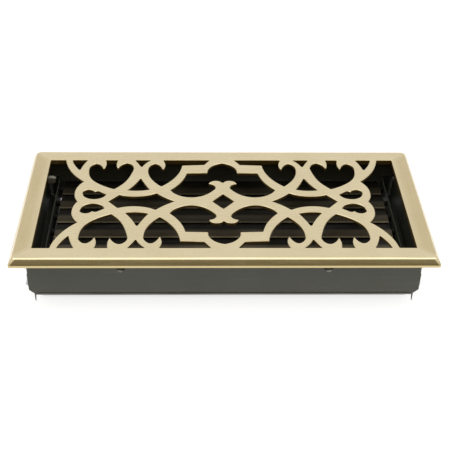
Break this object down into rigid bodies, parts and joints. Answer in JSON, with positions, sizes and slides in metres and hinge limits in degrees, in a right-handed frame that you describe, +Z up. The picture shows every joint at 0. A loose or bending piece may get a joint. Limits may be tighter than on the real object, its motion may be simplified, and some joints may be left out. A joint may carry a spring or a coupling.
{
  "type": "floor register",
  "caption": "Cast brass scrollwork grille on a sheet-steel damper box, with coupled louvres turned by a thumb lever.",
  "frame": {"origin": "middle of the register in plan, at the points of the four corner feet", "axes": "+X along the face towards its right end, +Y across it towards the side with the lever, +Z up out of the floor"},
  "size_m": [0.3232, 0.1724, 0.0455],
  "materials": {
    "brass": "polished and lacquered, fine straight grain",
    "box_paint": "dark grey semi-matt paint on sheet steel",
    "louvre_paint": "near-black satin paint on thin sheet steel",
    "black_steel": "blackened steel, lightly worn",
    "zinc_steel": "zinc-plated steel",
    "knob_plastic": "moulded pale grey plastic"
  },
  "bodies": {
    "case": {"brass_grille": "brass", "front_wall": "box_paint", "back_wall": "box_paint", "left_end_wall": "box_paint", "right_end_wall": "box_paint", "left_pivot_bracket": "box_paint", "right_pivot_bracket": "box_paint", "flange_screws": "zinc_steel", "corner_rivets": "zinc_steel"},
    "louvre_1_body": {"louvre_1": "louvre_paint", "louvre_1_pins": "black_steel", "lever_arm": "black_steel", "lever_knob": "knob_plastic"},
    "louvre_2_body": {"louvre_2": "louvre_paint", "louvre_2_pins": "black_steel"},
    "louvre_3_body": {"louvre_3": "louvre_paint", "louvre_3_pins": "black_steel"},
    "louvre_4_body": {"louvre_4": "louvre_paint", "louvre_4_pins": "black_steel"},
    "louvre_5_body": {"louvre_5": "louvre_paint", "louvre_5_pins": "black_steel"},
    "louvre_6_body": {"louvre_6": "louvre_paint", "louvre_6_pins": "black_steel"},
    "tie_bar_body": {"tie_bar": "black_steel", "tie_bar_pins": "black_steel"}
  },
  "joints": [
    {"name": "louvre_1_hinge", "type": "hinge", "parent": "case", "child": "louvre_1_body", "pos_m": [0, 0.05625, 0.0231], "axis": [-1, 0, 0], "range_deg": [0, 80]},
    {"name": "louvre_2_hinge", "type": "hinge", "parent": "case", "child": "louvre_2_body", "pos_m": [0, 0.03375, 0.0231], "axis": [-1, 0, 0], "range_deg": [0, 80]},
    {"name": "louvre_3_hinge", "type": "hinge", "parent": "case", "child": "louvre_3_body", "pos_m": [0, 0.01125, 0.0231], "axis": [-1, 0, 0], "range_deg": [0, 80]},
    {"name": "louvre_4_hinge", "type": "hinge", "parent": "case", "child": "louvre_4_body", "pos_m": [0, -0.01125, 0.0231], "axis": [-1, 0, 0], "range_deg": [0, 80]},
    {"name": "louvre_5_hinge", "type": "hinge", "parent": "case", "child": "louvre_5_body", "pos_m": [0, -0.03375, 0.0231], "axis": [-1, 0, 0], "range_deg": [0, 80]},
    {"name": "louvre_6_hinge", "type": "hinge", "parent": "case", "child": "louvre_6_body", "pos_m": [0, -0.05625, 0.0231], "axis": [-1, 0, 0], "range_deg": [0, 80]},
    {"name": "tie_bar_hinge", "type": "hinge", "parent": "louvre_1_body", "child": "tie_bar_body", "pos_m": [-0.1354, 0.06139, 0.01697], "axis": [-1, 0, 0], "range_deg": [-80, 0]}
  ],
  "couplings": [
    {"joint": "louvre_2_hinge", "follows": "louvre_1_hinge", "ratio": 1},
    {"joint": "louvre_3_hinge", "follows": "louvre_1_hinge", "ratio": 1},
    {"joint": "louvre_4_hinge", "follows": "louvre_1_hinge", "ratio": 1},
    {"joint": "louvre_5_hinge", "follows": "louvre_1_hinge", "ratio": 1},
    {"joint": "louvre_6_hinge", "follows": "louvre_1_hinge", "ratio": 1},
    {"joint": "tie_bar_hinge", "follows": "louvre_1_hinge", "ratio": -1}
  ]
}
